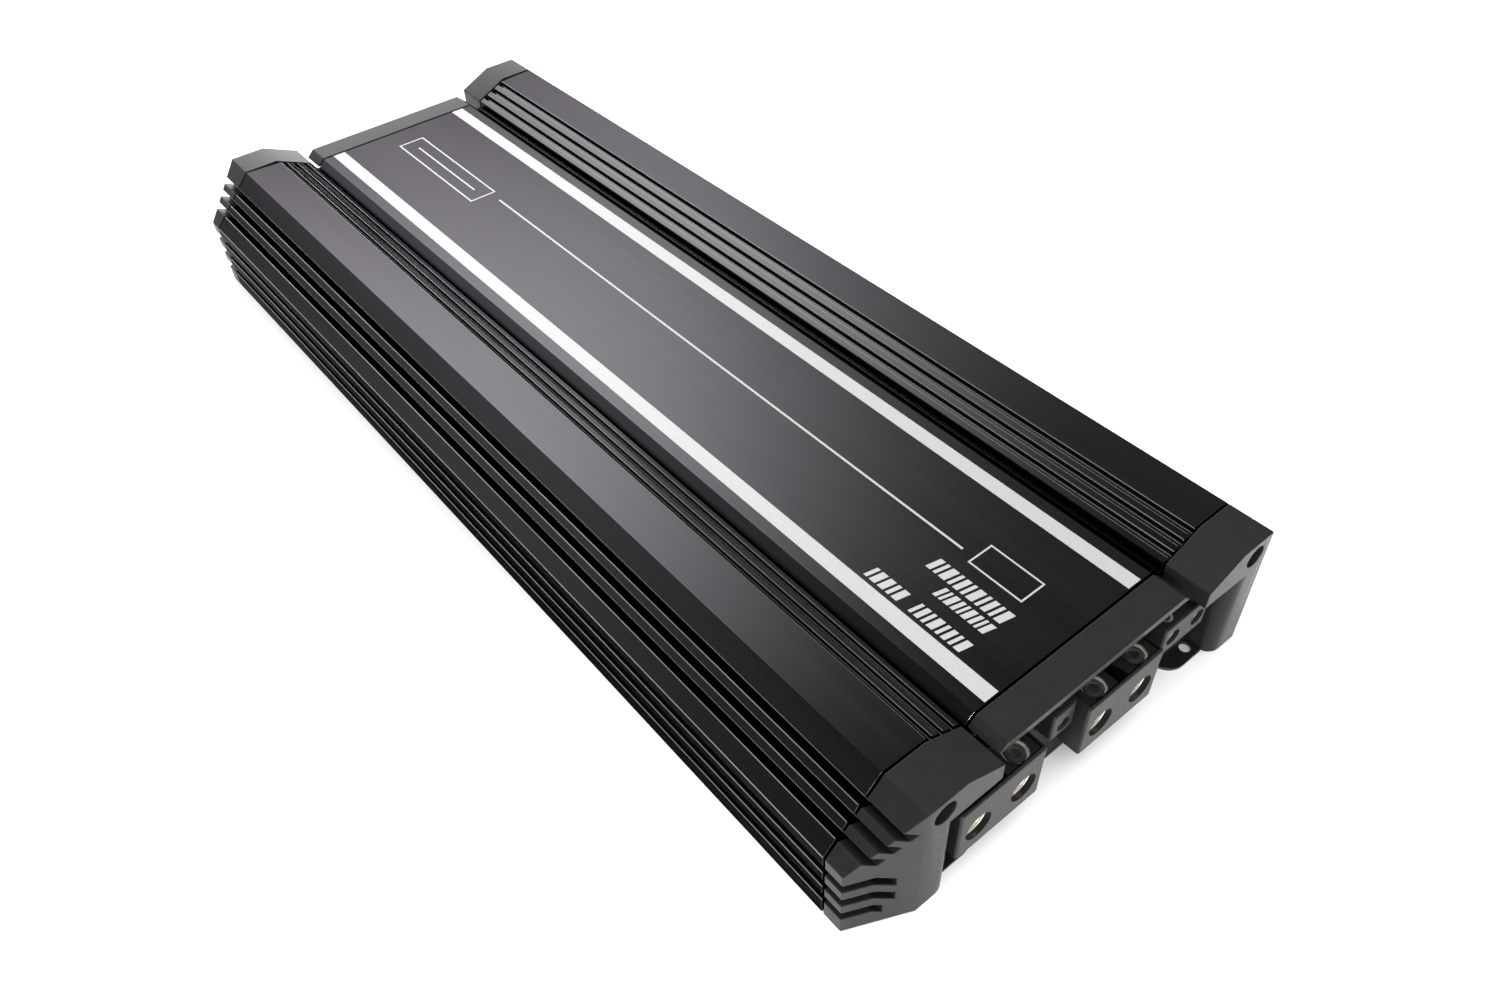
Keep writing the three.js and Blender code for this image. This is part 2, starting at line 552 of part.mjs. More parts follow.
function rearPanel() {
  const through = between(1, PANEL_FACE - PANEL_THICKNESS - 1, PANEL_FACE + 1);
  const around = (x, [width, height]) => box(
    [x - width / 2 - FIT_GAP, x + width / 2 + FIT_GAP], through,
    [CONTROL_Z - height / 2 - FIT_GAP, CONTROL_Z + height / 2 + FIT_GAP],
  );
  return cut(
    panelBlank(1),
    ...Object.values(KNOB_PLACES).map((x) => rodY(KNOB.shaftRadius + FIT_GAP, x, CONTROL_Z, through)),
    ...Object.values(RCA_PLACES).map((x) => rodY(RCA.radius + FIT_GAP, x, CONTROL_Z, through, FINE)),
    around(SWITCH.x, SWITCH.slot),
    around(PORT.x, [PORT.width, PORT.height]),
    rodY(LED.radius + FIT_GAP, LED.x, CONTROL_Z, through),
  );
}

// ---------- rear controls ----------

const PANEL_BACK = PANEL_FACE - PANEL_THICKNESS - FIT_GAP; // where pieces behind the panel start
const centred = (middle, size) => [middle - size / 2, middle + size / 2];

function knob(x) {
  const face = PANEL_FACE + FIT_GAP;
  const end = face + KNOB.length;
  const { radius, bevel } = KNOB;
  const geometry = new THREE.CylinderGeometry(radius - bevel, radius, bevel, FINE);
  const crown = toSolid(geometry.translate(x, outward(1, end - bevel / 2), CONTROL_Z));
  return cut(
    join(
      rodY(radius, x, CONTROL_Z, between(1, face, end - bevel), FINE),
      crown,
      rodY(KNOB.shaftRadius, x, CONTROL_Z, between(1, PANEL_BACK - POT.depth / 2, face + 1)),
    ),
    box(
      centred(x, KNOB.slotWidth),
      between(1, end - KNOB.slotDepth, end + 1),
      [CONTROL_Z, CONTROL_Z + radius + 1],
    ),
  );
}

function potBody(x) {
  const socketEnd = PANEL_BACK - POT.depth / 2 - FIT_GAP;
  const spanY = between(1, PANEL_BACK - POT.depth, PANEL_BACK);
  return cut(
    box(centred(x, POT.width), spanY, centred(CONTROL_Z, POT.height)),
    rodY(KNOB.shaftRadius + RUNNING_GAP, x, CONTROL_Z, between(1, socketEnd, PANEL_BACK + 1)),
  );
}

function rcaJack(x) {
  const end = PANEL_FACE + RCA.length;
  const seat = PANEL_FACE + FIT_GAP;
  return cut(
    join(
      rodY(RCA.radius, x, CONTROL_Z, between(1, PANEL_BACK - RCA.tailDepth, end), FINE),
      rodY(RCA.flangeRadius, x, CONTROL_Z, between(1, seat, seat + RCA.flangeLength), FINE),
    ),
    rodY(RCA.boreRadius, x, CONTROL_Z, between(1, end - RCA.length, end + 1)),
  );
}

function switchHousing() {
  const { x, width, height, depth, slot } = SWITCH;
  const [slotWidth, slotHeight] = slot;
  return cut(
    box(centred(x, width), between(1, PANEL_BACK - depth, PANEL_BACK), centred(CONTROL_Z, height)),
    box(
      centred(x, slotWidth),
      between(1, PANEL_BACK - depth / 2, PANEL_BACK + 1),
      centred(CONTROL_Z, slotHeight),
    ),
  );
}

function switchSlider() {
  const { x, depth, nub, travel, nubReach } = SWITCH;
  const [nubWidth, nubHeight] = nub;
  return box(
    centred(x + travel / 2, nubWidth),
    between(1, PANEL_BACK - depth / 2 + FIT_GAP, PANEL_FACE + nubReach),
    centred(CONTROL_Z, nubHeight),
  );
}

function levelPort() {
  const { x, width, height, depth, mouth, mouthDepth } = PORT;
  const [mouthWidth, mouthHeight] = mouth;
  const face = PANEL_FACE + PORT.stand;
  return cut(
    box(centred(x, width), between(1, PANEL_FACE - depth, face), centred(CONTROL_Z, height)),
    box(centred(x, mouthWidth), between(1, face - mouthDepth, face + 1), centred(CONTROL_Z, mouthHeight)),
  );
}

function statusLed() {
  const lensStart = PANEL_BACK - LED.flangeLength / 2;
  return join(
    rodY(LED.radius, LED.x, CONTROL_Z, between(1, lensStart, PANEL_FACE + LED.reach)),
    rodY(LED.flangeRadius, LED.x, CONTROL_Z, between(1, PANEL_BACK - LED.flangeLength, PANEL_BACK)),
  );
}

// ---------- inside ----------

function circuitBoard() {
  const half = CAVITY_HALF - BOARD.sideGap;
  const y = HALF_LENGTH - BOARD.endGap;
  return box([-half, half], [-y, y], [BOARD_Z, BOARD_TOP_Z]);
}

// a wound ring hanging under the board
function toroid({ radius, hole, height }, x, y) {
  const top = BOARD_Z - FIT_GAP;
  const round = (radius - hole) / 4;
  const profile = [
    [hole, round], [hole + round, 0], [radius - round, 0], [radius, round], [radius, height - round],
    [radius - round, height], [hole + round, height], [hole, height - round], [hole, round],
  ];
  return turned(profile, [x, y, top - height]);
}

function capacitor(x, y) {
  const { radius, height, groove, bevel } = CAPACITOR;
  const neck = height - 4 * groove;
  const profile = [
    [0, 0], [radius - bevel, 0], [radius, bevel], [radius, neck], [radius - groove, neck + groove],
    [radius, neck + 2 * groove], [radius, height], [0, height],
  ];
  return turned(profile, [x, y, BOARD_Z - FIT_GAP - height]);
}

// presses the power transistors against the side wall of the extrusion
function clampBar(sideX) {
  const { width, height, z, endGap, boardSide, bevel } = CLAMP_BAR;
  const out = CAVITY_HALF - boardSide;
  const section = [
    [out, z], [out, z + height], [out - width + bevel, z + height], [out - width, z + height - bevel],
    [out - width, z + bevel], [out - width + bevel, z],
  ];
  const reach = HALF_LENGTH - endGap;
  return alongY(section.map(([x, level]) => [sideX * x, level]), [-reach, reach]);
}

// ---------- the assembly ----------

const SIDES = [[-1, 'left'], [1, 'right']];
const ENDS = [[-1, 'front'], [1, 'rear']];

addPart('heatsink', heatsink(), 'black_anodised');
addPart('bottom_cover', bottomCover(), 'steel_black');
addPart('front_panel', frontPanel(), 'black_plastic');
addPart('rear_panel', rearPanel(), 'black_plastic');
for (const [sideY, end] of ENDS) {
  addPart(`${end}_visor`, visor(sideY), 'pod_paint');
  for (const [sideX, side] of SIDES) {
    addPart(`${end}_${side}_pod`, cornerPod(sideX, sideY), 'pod_paint');
    addPart(`${end}_${side}_pod_screw`, podScrew(sideX, sideY), 'black_screw');
  }
}
coverScrewPlaces().forEach((place, i) => addPart(`cover_screw_${i + 1}`, coverScrew(place), 'black_screw'));

for (const terminal of terminals) {
  addPart(`${terminal.name}_terminal`, terminalHousing(terminal), 'black_plastic');
  terminal.ways.forEach((way, i) => {
    addPart(`${terminal.name}_${way}_barrel`, terminalBarrel(terminal.kind, terminal.wayX[i]), 'nickel');
    addPart(`${terminal.name}_${way}_screw`, setScrew(terminal.kind, terminal.wayX[i]), 'screw_steel');
  });
}

for (const [name, x] of Object.entries(KNOB_PLACES)) {
  addPart(`${name}_knob`, knob(x), 'black_plastic');
  addPart(`${name}_pot`, potBody(x), 'black_plastic');
}
for (const [side, x] of Object.entries(RCA_PLACES)) {
  addPart(`rca_${side}`, rcaJack(x), 'nickel');
}
addPart('phase_switch_housing', switchHousing(), 'screw_steel');
addPart('phase_switch_slider', switchSlider(), 'black_plastic');
addPart('remote_level_port', levelPort(), 'black_plastic');
addPart('status_led', statusLed(), 'led_lens');

addPart('circuit_board', circuitBoard(), 'board_green');
for (const [sideX, side] of SIDES) {
  const transformerX = (sideX * TRANSFORMER.spacing) / 2;
  addPart(`transformer_${side}`, toroid(TRANSFORMER, transformerX, TRANSFORMER.y), 'copper_wire');
  addPart(`clamp_bar_${side}`, clampBar(sideX), 'aluminium_bar');
}
addPart('output_inductor', toroid(INDUCTOR, INDUCTOR.x, INDUCTOR.y), 'copper_wire');
for (let i = 0; i < 3; i += 1) {
  addPart(`capacitor_${i + 1}`, capacitor((i - 1) * CAPACITOR.spacing, CAPACITOR.y), 'capacitor_sleeve');
}

export default amplifier;
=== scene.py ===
"""A car audio power amplifier, dressed around its CAD frame.

The extrusion, castings, panels, cover and most of the electronics are the CAD solids with their edges
rounded and a procedural surface. Terminals, screws, barrels, knobs, jacks and windings are modelled again
in fine mesh. Everything is in metres, in the frame's own coordinates: +Z up, the cable terminals face -Y.
Small sizes are written in millimetres times MM.
"""
import json
import math

import bmesh
import bpy
from mathutils import Matrix, Vector


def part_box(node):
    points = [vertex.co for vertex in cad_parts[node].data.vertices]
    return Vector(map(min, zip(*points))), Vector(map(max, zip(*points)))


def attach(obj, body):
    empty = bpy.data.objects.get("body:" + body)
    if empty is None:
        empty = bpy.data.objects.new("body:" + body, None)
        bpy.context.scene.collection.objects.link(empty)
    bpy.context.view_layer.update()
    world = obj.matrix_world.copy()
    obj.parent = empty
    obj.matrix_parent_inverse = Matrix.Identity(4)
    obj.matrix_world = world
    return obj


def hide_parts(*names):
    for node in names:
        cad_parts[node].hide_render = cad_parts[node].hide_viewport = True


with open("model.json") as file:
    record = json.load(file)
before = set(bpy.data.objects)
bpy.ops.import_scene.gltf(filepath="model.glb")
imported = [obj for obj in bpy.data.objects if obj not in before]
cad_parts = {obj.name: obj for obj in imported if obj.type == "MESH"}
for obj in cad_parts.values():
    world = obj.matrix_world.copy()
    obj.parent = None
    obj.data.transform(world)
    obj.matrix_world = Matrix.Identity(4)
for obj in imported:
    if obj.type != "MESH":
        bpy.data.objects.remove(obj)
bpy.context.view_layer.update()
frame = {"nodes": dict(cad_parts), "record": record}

MM = 0.001


# ---------- camera ----------

CAMERA_PLACE = (-0.2599, -0.4089, 0.4113)
CAMERA_AZIMUTH = 37.84  # degrees, turned from +Y towards +X
CAMERA_PITCH = 44.94  # degrees below the horizon
CAMERA_ROLL = -2.43
CAMERA_LENS = 28.71  # mm
SENSOR_WIDTH = 36.0  # mm
NEAR_CLIP = 0.01


def make_camera():
    data = bpy.data.cameras.new("camera")
    data.lens = CAMERA_LENS
    data.sensor_width = SENSOR_WIDTH
    data.clip_start = NEAR_CLIP
    camera = bpy.data.objects.new("camera", data)
    bpy.context.scene.collection.objects.link(camera)
    turn = Matrix.Rotation(math.radians(-CAMERA_AZIMUTH), 4, "Z")
    tilt = Matrix.Rotation(math.radians(90 - CAMERA_PITCH), 4, "X")
    roll = Matrix.Rotation(math.radians(CAMERA_ROLL), 4, "Z")
    camera.matrix_world = Matrix.Translation(CAMERA_PLACE) @ turn @ tilt @ roll
    bpy.context.scene.camera = camera


# ---------- light and floor ----------

# (component of the direction, brightness) along each curve
SKY_BY_Y = [
    (-1.0, 0.30), (-0.2, 0.12), (0.30, 0.04), (0.40, 0.08), (0.47, 0.6), (0.54, 1.6), (0.61, 2.6),
    (0.68, 3.6), (0.74, 3.8), (0.80, 3.4), (0.90, 3.0), (1.0, 2.4),
]
SKY_BY_X = [
    (-1.0, 0.10), (-0.55, 0.11), (-0.42, 0.2), (-0.22, 0.9), (0.0, 1.0), (0.30, 1.0), (0.46, 0.72),
    (0.55, 0.32), (0.70, 0.24), (1.0, 0.24),
]
SIDE_GLOW = [(-1.0, 0.1), (-0.6, 0.04), (-0.3, 0.0), (0.42, 0.0), (0.54, 0.06), (0.66, 0.2), (1.0, 0.2)]

FLOOR_REACH = 12.0
SPOT_PLACE = Vector((-0.55, -1.05, 0.30))
SPOT_AIM = Vector((0, -0.28, 0.03))
SPOT_WIDTH = 26  # degrees
SPOT_POWER = 34


def make_world():
    """A soft bright field behind the object, so that long flat faces fade from light to dark."""
    world = bpy.data.worlds.new("studio")
    bpy.context.scene.world = world
    world.use_nodes = True
    nodes, links = world.node_tree.nodes, world.node_tree.links
    nodes.clear()
    output = nodes.new("ShaderNodeOutputWorld")
    background = nodes.new("ShaderNodeBackground")
    split = nodes.new("ShaderNodeSeparateXYZ")
    links.new(nodes.new("ShaderNodeTexCoord").outputs["Generated"], split.inputs[0])

    def level(socket, curve):
        """Brightness by one component of the direction, as a share of the curve's peak."""
        span = nodes.new("ShaderNodeMapRange")
        span.inputs["From Min"].default_value = -1.0
        links.new(split.outputs[socket], span.inputs["Value"])
        ramp = nodes.new("ShaderNodeValToRGB")
        while len(ramp.color_ramp.elements) < len(curve):
            ramp.color_ramp.elements.new(0.5)
        peak = max(value for _, value in curve)
        for element, (place, value) in zip(ramp.color_ramp.elements, curve):
            element.position = (place + 1) / 2
            element.color = (value / peak, value / peak, value / peak, 1)
        links.new(span.outputs["Result"], ramp.inputs["Fac"])
        return ramp.outputs["Color"]

    product = nodes.new("ShaderNodeMath")
    product.operation = "MULTIPLY"
    links.new(level("Y", SKY_BY_Y), product.inputs[0])
    links.new(level("X", SKY_BY_X), product.inputs[1])
    peak = max(value for _, value in SKY_BY_Y)
    glow = nodes.new("ShaderNodeMath")
    glow.operation = "MULTIPLY_ADD"
    links.new(level("X", SIDE_GLOW), glow.inputs[0])
    glow.inputs[1].default_value = max(value for _, value in SIDE_GLOW) / peak
    links.new(product.outputs[0], glow.inputs[2])
    links.new(glow.outputs[0], background.inputs["Color"])
    background.inputs["Strength"].default_value = peak
    links.new(background.outputs[0], output.inputs["Surface"])


def aim_light(light, place, aim):
    bpy.context.scene.collection.objects.link(light)
    light.location = place
    light.rotation_mode = "QUATERNION"
    light.rotation_quaternion = (Vector(aim) - Vector(place)).to_track_quat("-Z", "Y")


def area_light(name, place, aim, size, power, seen_in_gloss=True):
    data = bpy.data.lights.new(name, "AREA")
    data.shape = "RECTANGLE"
    data.size, data.size_y = size
    data.energy = power
    light = bpy.data.objects.new(name, data)
    aim_light(light, place, aim)
    light.visible_glossy = seen_in_gloss


def terminal_spot():
    """A small light low in front, to reach into the terminal apertures."""
    data = bpy.data.lights.new("terminal_spot", "SPOT")
    data.energy = SPOT_POWER
    data.spot_size = math.radians(SPOT_WIDTH)
    data.spot_blend = 0.6
    data.shadow_soft_size = 0.04
    aim_light(bpy.data.objects.new("terminal_spot", data), SPOT_PLACE, SPOT_AIM)


def make_lights():
    area_light("overhead_fill", (0, 0, 2.4), (0, 0, 0), (4.2, 4.2), 170, seen_in_gloss=False)
    area_light("front_softbox", (-0.95, -1.6, 0.75), (0, -0.25, 0.03), (0.5, 0.35), 3.5)
    area_light("low_back_strip", (1.2, 1.95, 0.36), (0, 0, 0.06), (1.5, 0.5), 7)
    terminal_spot()


def make_floor():
    mesh = bpy.data.meshes.new("floor")
    signs = ((-1, -1), (1, -1), (1, 1), (-1, 1))
    mesh.from_pydata([(x * FLOOR_REACH, y * FLOOR_REACH, 0) for x, y in signs], [], [(0, 1, 2, 3)])
    floor = bpy.data.objects.new("floor", mesh)
    bpy.context.scene.collection.objects.link(floor)
    floor.data.materials.append(floor_surface())


# ---------- surfaces ----------

class Surface:
    """A node material being put together round one Principled shader."""

    def __init__(self, name, color, metallic=0.0, roughness=0.5, **sockets):
        self.material = bpy.data.materials.new(name)
        self.material.use_nodes = True
        self.tree = self.material.node_tree
        self.shader = self.tree.nodes["Principled BSDF"]
        self.color, self.roughness = color, roughness
        self.shader.inputs["Base Color"].default_value = (*color, 1)
        self.shader.inputs["Metallic"].default_value = metallic
        self.shader.inputs["Roughness"].default_value = roughness
        for socket, value in sockets.items():
            self.shader.inputs[socket.replace("_", " ")].default_value = value
        self.place = self.add("ShaderNodeTexCoord").outputs["Object"]
        self.normal = None

    def add(self, kind, **settings):
        node = self.tree.nodes.new(kind)
        for key, value in settings.items():
            setattr(node, key, value)
        return node

    def link(self, output, socket):
        self.tree.links.new(output, socket)

    def noise(self, per_metre, detail=2.0, roughness=0.5):
        """Noise of so many cells to a metre along X, Y and Z."""
        stretch = self.add("ShaderNodeMapping")
        stretch.inputs["Scale"].default_value = per_metre
        noise = self.add("ShaderNodeTexNoise")
        noise.inputs["Scale"].default_value = 1.0
        noise.inputs["Detail"].default_value = detail
        noise.inputs["Roughness"].default_value = roughness
        self.link(self.place, stretch.inputs["Vector"])
        self.link(stretch.outputs["Vector"], noise.inputs["Vector"])
        return noise.outputs["Fac"]

    def spread(self, value, low, high, from_low=0.3, from_high=0.7):
        span = self.add("ShaderNodeMapRange")
        ends = (("From Min", from_low), ("From Max", from_high), ("To Min", low), ("To Max", high))
        for socket, number in ends:
            span.inputs[socket].default_value = number
        self.link(value, span.inputs["Value"])
        return span.outputs["Result"]

    def vary_roughness(self, value, amount):
        varied = self.spread(value, self.roughness - amount, self.roughness + amount)
        self.link(varied, self.shader.inputs["Roughness"])

    def vary_color(self, value, darker, lighter):
        mix = self.add("ShaderNodeMix", data_type="RGBA")
        mix.inputs["A"].default_value = (*[c * darker for c in self.color], 1)
        mix.inputs["B"].default_value = (*[min(1.0, c * lighter) for c in self.color], 1)
        self.link(self.spread(value, 0.0, 1.0), mix.inputs["Factor"])
        self.link(mix.outputs["Result"], self.shader.inputs["Base Color"])

    def bump(self, height, depth, strength=1.0):
        bump = self.add("ShaderNodeBump")
        bump.inputs["Distance"].default_value = depth
        bump.inputs["Strength"].default_value = strength
        self.link(height, bump.inputs["Height"])
        if self.normal is not None:
            self.link(self.normal, bump.inputs["Normal"])
        self.normal = bump.outputs["Normal"]
        self.link(self.normal, self.shader.inputs["Normal"])


def floor_surface():
    surface = Surface("floor_paper", (0.88, 0.88, 0.88), roughness=0.9)
    surface.shader.inputs["Specular IOR Level"].default_value = 0.2
    surface.bump(surface.noise((900, 900, 900)), 0.02 * MM)
    return surface.material


def anodised_surface():
    """Black anodised extrusion: faint die lines run along Y."""
    surface = Surface("black_anodised", (0.096, 0.092, 0.099), metallic=1.0, roughness=0.22)
    surface.shader.inputs["Specular Tint"].default_value = (0.21, 0.21, 0.21, 1)
    surface.vary_roughness(surface.noise((260, 1.5, 260), detail=4), 0.025)
    surface.vary_color(surface.noise((40, 3, 40), detail=3), 0.97, 1.03)
    surface.bump(surface.noise((2200, 4, 2200), detail=1), 0.0008 * MM, 0.3)
    return surface.material


def casting_surface():
    """Near-black semi-gloss coat with a fine grain."""
    surface = Surface("casting_coat", (0.0125, 0.0125, 0.012), roughness=0.33)
    surface.shader.inputs["Specular IOR Level"].default_value = 0.17
    surface.vary_roughness(surface.noise((500, 500, 500), detail=3), 0.04)
    surface.vary_color(surface.noise((120, 120, 120), detail=4), 0.9, 1.1)
    surface.bump(surface.noise((2400, 2400, 2400), detail=2), 0.008 * MM, 0.4)
    return surface.material


def painted_highlight_surface(name, color, roughness):
    """A painted highlight for rounded edges: a lighter, partly metallic colour in place of the light they
    catch, uneven along their length.
    """
    surface = Surface(name, color, metallic=0.6, roughness=roughness)
    surface.vary_color(surface.noise((60, 14, 60), detail=3), 0.7, 1.15)
    surface.vary_roughness(surface.noise((60, 20, 60), detail=2), 0.05)
    return surface.material


def plastic_surface(name, color, roughness, grain=0.012, level=0.5):
    surface = Surface(name, color, roughness=roughness)
    surface.shader.inputs["Specular IOR Level"].default_value = level
    surface.vary_roughness(surface.noise((700, 700, 700), detail=3), 0.05)
    surface.vary_color(surface.noise((200, 200, 200), detail=3), 0.93, 1.07)
    surface.bump(surface.noise((3000, 3000, 3000), detail=2), grain * MM, 0.5)
    return surface.material


def metal_surface(name, color, roughness, metallic=1.0, lines=(3000, 400, 3000), depth=0.004):
    surface = Surface(name, color, metallic=metallic, roughness=roughness)
    surface.vary_roughness(surface.noise(lines, detail=3), min(0.08, roughness / 2))
    surface.bump(surface.noise(lines, detail=2), depth * MM, 0.5)
    return surface.material


def painted_surface(name, color, roughness):
    surface = Surface(name, color, roughness=roughness)
    surface.vary_roughness(surface.noise((300, 300, 300), detail=3), 0.06)
    surface.bump(surface.noise((1500, 1500, 1500), detail=2), 0.012 * MM, 0.5)
    return surface.material


def silver_print_surface():
    """Screen print with a fine sparkle."""
    surface = Surface("silver_print", (0.40, 0.40, 0.395), metallic=0.35, roughness=0.4)
    flakes = surface.add("ShaderNodeTexVoronoi")
    flakes.inputs["Scale"].default_value = 2600
    surface.link(surface.place, flakes.inputs["Vector"])
    tone = surface.add("ShaderNodeSeparateColor")
    surface.link(flakes.outputs["Color"], tone.inputs["Color"])
    surface.vary_color(tone.outputs[0], 0.96, 1.05)
    surface.vary_roughness(tone.outputs[1], 0.05)
    return surface.material


SURFACES = {
    "anodised_body": anodised_surface(),
    "pod_coating": casting_surface(),
    "cover_steel": painted_surface("cover_paint", (0.008, 0.008, 0.008), 0.38),
    "panel_plastic": plastic_surface("panel_plastic", (0.007, 0.007, 0.007), 0.6, level=0.12),
    "terminal_plastic": plastic_surface("terminal_plastic", (0.011, 0.011, 0.0105), 0.36, level=0.2),
    "nickel_barrel": metal_surface("nickel_plate", (0.86, 0.81, 0.71), 0.24, metallic=0.6),
    "set_screw": metal_surface("zinc_plate", (0.55, 0.54, 0.52), 0.18, metallic=0.95, depth=0.0005),
    "black_screw": metal_surface("black_oxide", (0.045, 0.045, 0.045), 0.35),
    "knob_plastic": plastic_surface("knob_plastic", (0.018, 0.018, 0.018), 0.35, 0.006),
    "control_plastic": plastic_surface("control_plastic", (0.015, 0.015, 0.015), 0.5),
    "switch_shell": metal_surface("tinned_steel", (0.55, 0.55, 0.55), 0.35),
    "led_lens": plastic_surface("led_lens", (0.06, 0.22, 0.85), 0.12, 0.0),
    "board": plastic_surface("solder_mask", (0.012, 0.10, 0.035), 0.35),
    "winding": metal_surface("enamelled_copper", (0.62, 0.27, 0.10), 0.32),
    "capacitor_sleeve": plastic_surface("shrink_sleeve", (0.014, 0.018, 0.03), 0.3),
    "clamp_aluminium": metal_surface("mill_aluminium", (0.62, 0.62, 0.63), 0.4),
    "silver_print": silver_print_surface(),
}
SLOT_OF = {part["node"]: part["material_slot"] for part in frame["record"]["subparts"]}


# ---------- meshes ----------

def settle(piece, slot, body="chassis", nodes=()):
    """Gives a piece its surface and its body, and hides the CAD nodes it stands for."""
    piece.data.materials.append(SURFACES[slot])
    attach(piece, body)
    if nodes:
        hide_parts(*nodes)
    return piece


def to_object(name, bm):
    mesh = bpy.data.meshes.new(name)
    bmesh.ops.recalc_face_normals(bm, faces=bm.faces)
    bm.to_mesh(mesh)
    bm.free()
    piece = bpy.data.objects.new(name, mesh)
    bpy.context.scene.collection.objects.link(piece)
    return piece


NORMAL_WEIGHT = 90  # how far large faces outweigh small ones in the shading
MERGE_DISTANCE = 0.002 * MM  # between the vertices of a CAD solid
CARVE_MERGE = 0.001 * MM  # between the vertices that a cut leaves
FLAT_ANGLE = 0.3  # degrees between faces that count as one
# material slot of the painted highlight on rounded edges
PAINTED_HIGHLIGHT_SLOT = 1
BEVEL_ROOM = 2.2  # an edge is rounded when it is this many bevels long


def shade(piece, angle=35.0):
    """Smooth across small angles, crisp across large ones."""
    piece.data.shade_smooth()
    piece.data.set_sharp_from_angle(angle=math.radians(angle))
    weighted = piece.modifiers.new("even_normals", "WEIGHTED_NORMAL")
    weighted.keep_sharp = True
    weighted.weight = NORMAL_WEIGHT


def round_edges(bm, width, segments=2, sharp=25.0, wanted=lambda edge: True, material=-1):
    """Rounds the wanted edges that are sharper than an angle in degrees."""
    edges = [
        e for e in bm.edges
        if len(e.link_faces) == 2 and e.calc_face_angle(0) > math.radians(sharp)
        and e.calc_length() > BEVEL_ROOM * width and wanted(e)
    ]
    bmesh.ops.bevel(
        bm, geom=edges, offset=width, offset_type="OFFSET", segments=segments, profile=0.5,
        affect="EDGES", clamp_overlap=False, material=material,
    )


def merge_flat(bm):
    bmesh.ops.remove_doubles(bm, verts=bm.verts, dist=MERGE_DISTANCE)
    bmesh.ops.dissolve_limit(bm, angle_limit=math.radians(FLAT_ANGLE), verts=bm.verts, edges=bm.edges)


def block(x, y, z):
    """A box from its spans along X, Y and Z."""
    bm = bmesh.new()
    bmesh.ops.create_cube(bm, size=1.0)
    size = Vector((x[1] - x[0], y[1] - y[0], z[1] - z[0]))
    middle = Vector((x[0] + x[1], y[0] + y[1], z[0] + z[1])) / 2
    bmesh.ops.scale(bm, vec=size, verts=bm.verts)
    bmesh.ops.translate(bm, vec=middle, verts=bm.verts)
    return bm


def turned(profile, place, axis="Z", facets=64, flutes=0, flute_depth=0.0):
    """A solid of revolution from a (radius, height) profile that starts and ends on its axis."""
    bm = bmesh.new()
    rings = []
    for radius, height in profile:
        ring = []
        count = 1 if radius == 0 else facets
        for i in range(count):
            angle = 2 * math.pi * i / facets
            r = radius - (flute_depth * (0.5 - 0.5 * math.cos(flutes * angle)) if flutes else 0.0)
            ring.append(bm.verts.new((r * math.cos(angle), r * math.sin(angle), height)))
        rings.append(ring)
    for low, high in zip(rings, rings[1:]):
        for i in range(facets):
            j = (i + 1) % facets
            corners = [low[i % len(low)], low[j % len(low)], high[j % len(high)], high[i % len(high)]]
            corners = list(dict.fromkeys(corners))
            if len(corners) > 2:
                bm.faces.new(corners)
    if axis == "Y":
        lay_down = Matrix.Rotation(math.radians(-90), 3, "X")
        bmesh.ops.rotate(bm, cent=(0, 0, 0), matrix=lay_down, verts=bm.verts)
    bmesh.ops.translate(bm, vec=place, verts=bm.verts)
    return bm


def rod(radius, place, length, axis="Z", facets=64):
    return turned([(0, 0), (radius, 0), (radius, length), (0, length)], place, axis, facets)


def carved(body, *tools):
    """The body with every tool cut out of it, as a new bmesh."""
    solid = to_object("solid", body)
    cutters = [to_object("cutter", tool) for tool in tools]
    for cutter in cutters:
        cut = solid.modifiers.new("cut", "BOOLEAN")
        cut.operation, cut.solver, cut.object = "DIFFERENCE", "EXACT", cutter
    graph = bpy.context.evaluated_depsgraph_get()
    mesh = bpy.data.meshes.new_from_object(solid.evaluated_get(graph))
    bm = bmesh.new()
    bm.from_mesh(mesh)
    bpy.data.meshes.remove(mesh)
    for piece in (solid, *cutters):
        used = piece.data
        bpy.data.objects.remove(piece)
        bpy.data.meshes.remove(used)
    bmesh.ops.remove_doubles(bm, verts=bm.verts, dist=CARVE_MERGE)
    return bm


def joined(*parts):
    """Several bmeshes as one, without a boolean."""
    whole = parts[0]
    for part in parts[1:]:
        mesh = bpy.data.meshes.new("part")
        part.to_mesh(mesh)
        part.free()
        whole.from_mesh(mesh)
        bpy.data.meshes.remove(mesh)
    return whole


def refined(node, bevel, segments=2, painted_highlight=None, painted_highlight_here=None, body="chassis"):
    """A copy of a CAD solid with its edges rounded, and a painted highlight on the rounded faces that the
    given test picks.
    """
    bm = bmesh.new()
    bm.from_mesh(frame["nodes"][node].data)
    merge_flat(bm)
    round_edges(bm, bevel, segments, material=PAINTED_HIGHLIGHT_SLOT if painted_highlight else -1)
    bm.normal_update()
    for face in bm.faces:
        if face.material_index and not painted_highlight_here(face):
            face.material_index = 0
    low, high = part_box(node)
    for vert in bm.verts:
        vert.co = [min(max(c, a), b) for c, a, b in zip(vert.co, low, high)]
    piece = to_object(f"{node}_finish", bm)
    shade(piece)
    settle(piece, SLOT_OF[node], body=body, nodes=[node])
    if painted_highlight:
        piece.data.materials.append(painted_highlight)
    return piece


# ---------- body, castings and panels ----------

# Measured across the body from its middle
INNER_GROOVES = 59 * MM, 76 * MM
OUTER_GROOVES_START = 98 * MM


